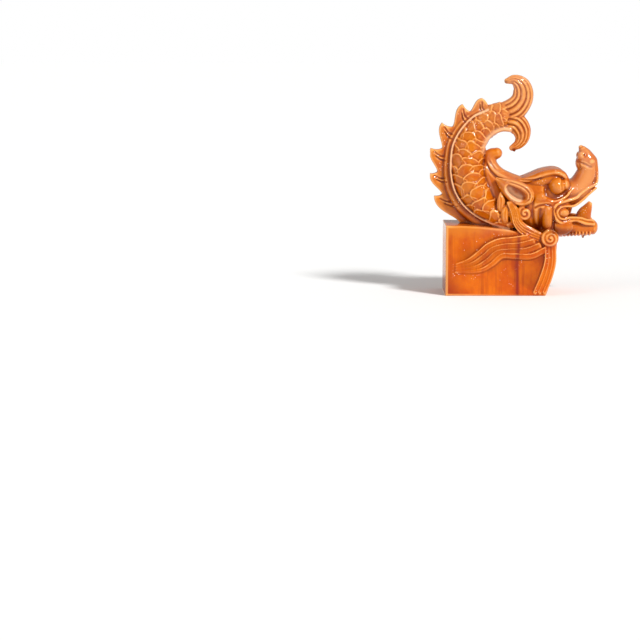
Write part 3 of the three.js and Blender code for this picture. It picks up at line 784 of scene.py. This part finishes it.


# Where the colour goes darker (or, below nothing, paler): runs of thick glaze, painted shadow and shade in
# the socket, nostril and cheek gap, painted light under the body, a painted reflection on the ear's floor,
# painted highlights on the bead and the rosette's ring; route, width, strength, least w
stainsAndPaintedLight = {
    "band": ([(-86, 109), (-99.4, 97), (-107, 81.5), (-109.6, 66), (-109.6, 50), (-106, 33), (-97, 17),
              (-83.5, 5), (-66, -3), (-48, -8)], 4.6, 0.1, 0),
    "beard": ([(-22, -19), (-42, -22), (-58, -23), (-72, -31), (-90, -40)], 9, 0.42, 30),
    # painted light: the underside of the body made paler against its shadow
    "underBodyPaintedLight": ([(-84, 3), (-66, -3), (-48, -8)], 4.5, -0.3, 0),
    "besideBead": ([(-85, 108), (-96.6, 96), (-105, 81), (-107.8, 66), (-107.8, 50.2), (-104.2, 33.6),
                    (-95.4, 18.2), (-82.2, 7), (-65.6, -1)], 1.2, 0.6, 0),
    # thin glaze and painted highlight: the bead's crest made pale
    "bead": (fin["backLine"], 1.1, -1.2, 0),
    # painted highlight: the rosette's ring made pale
    "rosette": (circle(*hair["rosette"], 7), 1.6, -0.35, 31),
    "innerBorder": ([(u, v) for u, v, *_ in body["innerBorder"]], 3, -0.62, 0),
    "snout": ([(22, 34), (30, 44), (33, 54), (31, 62), (28, 70)], 10, -0.36, 0),
    "lock": ([(-36, 38), (-48, 45), (-58, 52), (-64, 62)], 7, -0.24, 0),
    # painted shadow: the crescent under the eyeball darkened
    "socket": ([(-9.4, 36), (-8, 31.4), (-3, 29)], 3, 0.8, 10),
    # painted shade: the gap between the knob and the cheek darkened
    "cheekGap": ([(-18.4, 17), (-19, 8), (-17, -2)], 3.6, 0.5, 14),
    # painted shade: the nostril pit darkened
    "nostril": ([(28.2, 69), (28.4, 68.8)], 1.5, 1.6, 5),
    "lowerDrop": ([(-42, 73.6), (-41, 72)], 2.0, 1.4, 0),
    "jawDrop": ([(28.8, -13.4), (29.2, -16)], 1.8, 1.4, 0),
    "upperTip": ([(-51.5, 139.5), (-50.5, 141.5)], 2.2, 0.8, 0),
    # painted reflection: the floor of the ear's hollow made pale as a shine would
    "earFloorPaintedReflection": ([(-49, 35), (-44.4, 29.6), (-38.6, 27)], 3.2, -1.6, 20),
    "cheekFoot": ([(-22, -1), (-12, -5), (-4, -5)], 4, 0.6, 16),
    "jawFoot": ([(-2, -5), (5, -7), (16, -8)], 4.4, 0.95, 8),
}


def storeStainsAndPaintedLight(piece):
    # the bells of distance of the stains and of the painted shade, light and reflection, added up
    mesh = piece.data
    points, normals = cornersOf(mesh), normalsOf(mesh)
    depth = np.zeros(len(points), np.float32)
    for route, width, strength, least in stainsAndPaintedLight.values():
        chosen, gap, _ = nearRoute(points, normals, route, 3 * width, least)
        depth[chosen] += strength * np.exp(-(gap / width) ** 2)
    mesh.attributes.new("stainAndPaintedLight", "FLOAT", "POINT").data.foreach_set("value", depth)


points, normals = cornersOf(beast.data), normalsOf(beast.data)
for line in lines.values():
    carve(points, normals, line)
beast.data.vertices.foreach_set("co", points.ravel())
beast.data.update()
smooth = beast.modifiers.new("soften", "SMOOTH")
smooth.factor = 0.5
smooth.iterations = clayFinish["smoothRounds"]
applyModifiers(beast)
storeHollows(beast)
storeStainsAndPaintedLight(beast)
thin = beast.modifiers.new("thin", "DECIMATE")
thin.ratio = min(1.0, clayFinish["mostTriangles"] / (len(beast.data.polygons) * 2))
applyModifiers(beast)
points = np.clip(cornersOf(beast.data), np.array(cadBox[0]), np.array(cadBox[1]))
beast.data.vertices.foreach_set("co", points.ravel())
beast.data.update()
beast.data.polygons.foreach_set("use_smooth", np.ones(len(beast.data.polygons), bool))
print("finished mesh:", len(beast.data.polygons))

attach(beast, "root")
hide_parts("ridge_beast")


class Wire:
    # a node's output that can stand in a sum; every operator adds a Math node
    tree = None

    def __init__(self, socket):
        self.socket = socket

    @classmethod
    def node(cls, kind, settings=None, inputs=None, output=0):
        # settings first (a ramp's stops among them), then the values or links of the inputs
        made = cls.tree.nodes.new(kind)
        for name, value in (settings or {}).items():
            if name == "stops":
                for spot, (position, colour) in zip(made.color_ramp.elements, value):
                    spot.position, spot.color = position, colour
            else:
                setattr(made, name, value)
        for key, value in (inputs or {}).items():
            if isinstance(value, Wire):
                cls.tree.links.new(value.socket, made.inputs[key])
            else:
                made.inputs[key].default_value = value
        return cls(made.outputs[output]) if made.outputs else None

    @staticmethod
    def maths(operation, first, second=0.0):
        return Wire.node("ShaderNodeMath", {"operation": operation}, {0: first, 1: second})

    def __add__(self, other):
        return self.maths("ADD", self, other)

    __radd__ = __add__

    def __sub__(self, other):
        return self.maths("SUBTRACT", self, other)

    def __rsub__(self, other):
        return self.maths("SUBTRACT", other, self)

    def __mul__(self, other):
        return self.maths("MULTIPLY", self, other)

    __rmul__ = __mul__

    def between(self, low, high):
        # 0 below low, 1 above high, a soft step between them
        return Wire.node("ShaderNodeMapRange", {"interpolation_type": "SMOOTHSTEP"},
                         {"Value": self, "From Min": low, "From Max": high})


def mixed(share, first, second):
    return Wire.node("ShaderNodeMix", {"data_type": "RGBA"}, {0: share, 6: first, 7: second}, output=2)


def noise(where, stretch, detail=3.0):
    # noise on the object's own place, each direction scaled by itself
    scaled = Wire.node("ShaderNodeVectorMath", {"operation": "MULTIPLY"}, {0: where, 1: stretch})
    return Wire.node("ShaderNodeTexNoise", {}, {"Vector": scaled, "Scale": 1.0, "Detail": detail})


def attribute(name):
    return Wire.node("ShaderNodeAttribute", {"attribute_name": name}, output=2)


def makeGlaze():
    material = bpy.data.materials.new("amberGlaze")
    material.use_nodes = True
    Wire.tree = material.node_tree
    Wire.tree.nodes.clear()
    where = Wire.node("ShaderNodeTexCoord", output=3)
    x = Wire.node("ShaderNodeSeparateXYZ", {}, {0: where}, output=0)
    z = Wire.node("ShaderNodeSeparateXYZ", {}, {0: where}, output=2)
    hollow, crease, stainAndPaintedLight = attribute("hollow"), attribute("crease"), attribute("stainAndPaintedLight")
    colours = {name: value for name, value in glaze.items() if isinstance(value, tuple) and len(value) == 3}
    paint = {name: linear(value) for name, value in colours.items()}

    # the ground colours of the beast, the block and the tail
    cloud = noise(where, (38, 38, 30))
    low = 1 - z.between(*glaze["blockTop"])
    body = mixed(cloud.between(0.35, 0.7), paint["amber"], paint["deepAmber"])
    face = mixed(cloud.between(0.3, 0.75), paint["blockAmber"], paint["blockDeep"])
    colour = mixed(low, body, face)
    colour = mixed(z.between(*glaze["tailFoot"]) * 0.5, colour, paint["tailWash"])

    # runs down the block
    waver = noise(where, (20, 20, 14)) * glaze["waver"]
    runs = noise(where, (85, 85, 5), 2.0).between(0.52, 0.72) * (1 - x.between(*glaze["runsEnd"]))
    streaks = (noise(where, (300, 300, 24), 2.0) - 0.5).between(0, 0.3)
    aside = Wire.maths("ABSOLUTE", x + waver - glaze["mainRun"] - glaze["waver"] / 2)
    mainRun = 1 - aside.between(*glaze["mainRunHalf"])
    corner = (1 - (x + z * 0.6 + waver).between(*glaze["darkCorner"])) * 0.8
    dark = Wire.maths("MAXIMUM", runs * 0.5 + streaks * 0.3, corner)
    colour = mixed(dark * low, colour, paint["run"])
    colour = mixed(mainRun * low * 0.9, colour, paint["mainRunColour"])

    # thick glaze in the broad hollows, painted shade in the fine creases, thin glaze with a painted
    # highlight on the edges, and the stains with their painted shadow, light, highlight and reflection
    colour = mixed((hollow * -1).between(*glaze["poolFrom"]) * 0.7, colour, paint["pooledGlazeAndShade"])
    # painted shade: the fine creases darkened with the pooled colour, as shade outlines the relief
    colour = mixed((crease * -1).between(*glaze["creaseFrom"]) * 0.6, colour, paint["pooledGlazeAndShade"])
    # thin glaze on the ridges, partly painted highlight: the fine edges made pale as glints would make them
    colour = mixed(crease.between(*glaze["edgeFrom"]) * (0.55 + cloud * 0.5), colour, paint["thin"])
    # darker where a stain is above nothing: thick glaze, and painted shadow in the socket, nostril and cheek
    # gap
    colour = mixed(stainAndPaintedLight.between(0, 1) * 0.8, colour, paint["pooledGlazeAndShade"])
    # paler where it is below nothing: painted light, reflection and highlights, and other paler patches
    colour = mixed((stainAndPaintedLight * -1).between(0, 1) * 0.85, colour, paint["paleAndPaintedLight"])

    # pinholes in patches, and a skin that is never quite even
    cells = Wire.node("ShaderNodeTexVoronoi", {"feature": "F1"}, {"Vector": where, "Scale": glaze["flecks"]})
    patches = noise(where, (34, 34, 34), 1.0).between(*glaze["fleckPatches"])
    speck = (1 - cells.between(*glaze["fleckReach"])) * patches
    colour = mixed(speck * 0.65, colour, paint["fleck"])
    grain = noise(where, (260, 260, 260), 2.0) + noise(where, (95, 95, 95), 1.0) * 1.6 + speck * -0.6
    bump = Wire.node("ShaderNodeBump", {}, {"Strength": 0.3, "Distance": 0.0006, "Height": grain})
    surface = Wire.node("ShaderNodeBsdfPrincipled", {}, {
        "Base Color": colour, "Roughness": glaze["roughness"] + cloud * 0.1, "Normal": bump,
        "Coat Weight": glaze["blockCoat"] + (1 - low) * (glaze["beastCoat"] - glaze["blockCoat"]),
        "Coat Roughness": glaze["coatRoughness"], "Specular IOR Level": glaze["specular"], "IOR": 1.5})
    Wire.node("ShaderNodeOutputMaterial", {}, {"Surface": surface})
    return material


beast.data.materials.clear()
beast.data.materials.append(makeGlaze())
print("glazed")


# Camera, floor and light
view = {
    "distance": 4.8,
    "elevation": 8.0,
    "metresPerPixel": 0.002,
    "frontCornerPixel": 556.5,  # where the block's upper front corner falls across the frame
    "bedPixel": 296.0,          # where the near edge of the bed falls down the frame
    "frame": 640,
}

studio = {
    "air": 0.4,
    "floor": (0.95, 0.95, 0.94, 1.0),
    "floorHalf": 14.0,
    "sun": 3.0,
    "sunSpread": 11.0,          # degrees
    "sunFrom": (0.55, -0.62, 0.75),
    "fill": 0.55,
    "fillFrom": (-0.8, -0.5, 0.35),
}


def makeCamera():
    tilt = math.radians(view["elevation"])
    scale, half = view["metresPerPixel"], view["frame"] / 2
    camera = bpy.data.cameras.new("camera")
    camera.angle = 2 * math.atan(half * scale / view["distance"])
    ahead = Vector((0, math.cos(tilt), -math.sin(tilt)))
    up = Vector((0, math.sin(tilt), math.cos(tilt)))
    nearBed = Vector((layout["frontX"] - (view["frontCornerPixel"] - half) * scale, -block["width"] / 2, 0))
    aim = nearBed - up * ((half - view["bedPixel"]) * scale)
    holder = bpy.data.objects.new("camera", camera)
    holder.location = aim - ahead * view["distance"]
    holder.rotation_euler = ahead.to_track_quat("-Z", "Y").to_euler()
    bpy.context.scene.collection.objects.link(holder)
    bpy.context.scene.camera = holder


def makeStudio():
    half = studio["floorHalf"]
    sheet = bpy.data.meshes.new("floor")
    around = [(-half, -half, 0), (half, -half, 0), (half, half, 0), (-half, half, 0)]
    sheet.from_pydata(around, [], [(0, 1, 2, 3)])
    paint = bpy.data.materials.new("palePaint")
    paint.use_nodes = True
    shader = paint.node_tree.nodes["Principled BSDF"]
    shader.inputs["Base Color"].default_value = studio["floor"]
    shader.inputs["Roughness"].default_value = 0.9
    sheet.materials.append(paint)
    floor = bpy.data.objects.new("floor", sheet)
    bpy.context.scene.collection.objects.link(floor)
    for name, strength, spread, source in (("key", studio["sun"], studio["sunSpread"], studio["sunFrom"]),
                                           ("fill", studio["fill"], 40.0, studio["fillFrom"])):
        lamp = bpy.data.lights.new(name, "SUN")
        lamp.energy, lamp.angle = strength, math.radians(spread)
        holder = bpy.data.objects.new(name, lamp)
        holder.rotation_euler = Vector(source).to_track_quat("Z", "Y").to_euler()
        bpy.context.scene.collection.objects.link(holder)
    world = bpy.data.worlds.new("air")
    world.use_nodes = True
    Wire.tree = world.node_tree
    Wire.tree.nodes.clear()
    white = (1.0, 1.0, 1.0, 1.0)
    air = Wire.node("ShaderNodeBackground", {}, {"Color": white, "Strength": studio["air"]})
    seen = Wire.node("ShaderNodeBackground", {}, {"Color": white, "Strength": 1.0})  # past the floor
    sky = Wire.node("ShaderNodeMixShader", {}, {0: Wire.node("ShaderNodeLightPath"), 1: air, 2: seen})
    Wire.node("ShaderNodeOutputWorld", {}, {"Surface": sky})
    bpy.context.scene.world = world
    bpy.context.scene.view_settings.view_transform = "Standard"


makeCamera()
makeStudio()
